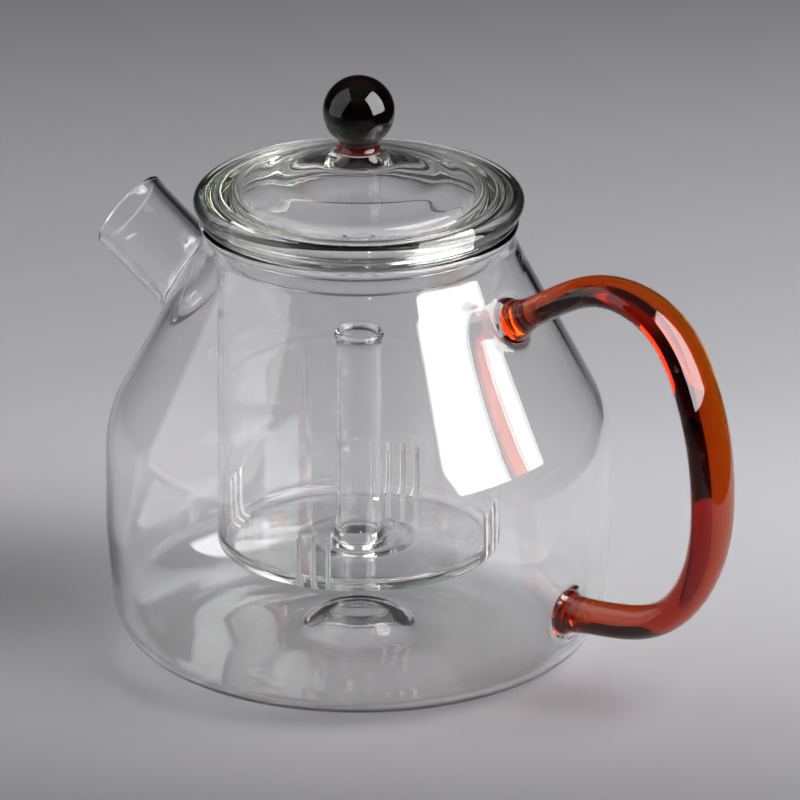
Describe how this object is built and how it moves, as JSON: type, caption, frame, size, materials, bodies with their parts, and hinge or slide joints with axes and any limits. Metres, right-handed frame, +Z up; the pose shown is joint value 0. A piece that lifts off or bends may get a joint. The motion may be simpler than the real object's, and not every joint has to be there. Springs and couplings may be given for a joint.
{
  "type": "glass teapot",
  "caption": "Clear borosilicate steaming teapot: round-shouldered pot with short tube spout, solid amber rod handle, lift-out infuser with chimney, and low domed lid with a dark ball knob",
  "frame": {"origin": "centre of the standing plane, on the pot's axis", "axes": "+Z up along the pot's axis, handle towards +X, spout towards -X, +Y completes the right-handed frame"},
  "size_m": [0.2015, 0.1402, 0.1669],
  "materials": {
    "clear_glass": "clear, fire polished",
    "amber_glass": "transparent orange-brown amber, fire polished",
    "dark_amber_glass": "near-black red-brown, fire polished"
  },
  "bodies": {
    "pot": {"pot_body": "clear_glass", "spout_tube": "clear_glass", "spout_weld_ring": "clear_glass", "handle_rod": "amber_glass", "handle_upper_weld": "clear_glass", "handle_lower_weld": "clear_glass"},
    "infuser": {"infuser_wall": "clear_glass", "infuser_flange": "clear_glass", "infuser_floor": "clear_glass", "chimney_tube": "clear_glass", "chimney_boss": "clear_glass"},
    "lid": {"lid_dome": "clear_glass", "lid_skirt": "clear_glass", "knob_collar": "clear_glass", "knob_stem": "dark_amber_glass", "knob_ball": "dark_amber_glass"}
  },
  "joints": [
    {"name": "infuser_lift", "type": "slide", "parent": "pot", "child": "infuser", "axis": [0, 0, 1], "range_m": [0, 0.11]},
    {"name": "lid_lift", "type": "slide", "parent": "infuser", "child": "lid", "axis": [0, 0, 1], "range_m": [0, 0.06]}
  ]
}
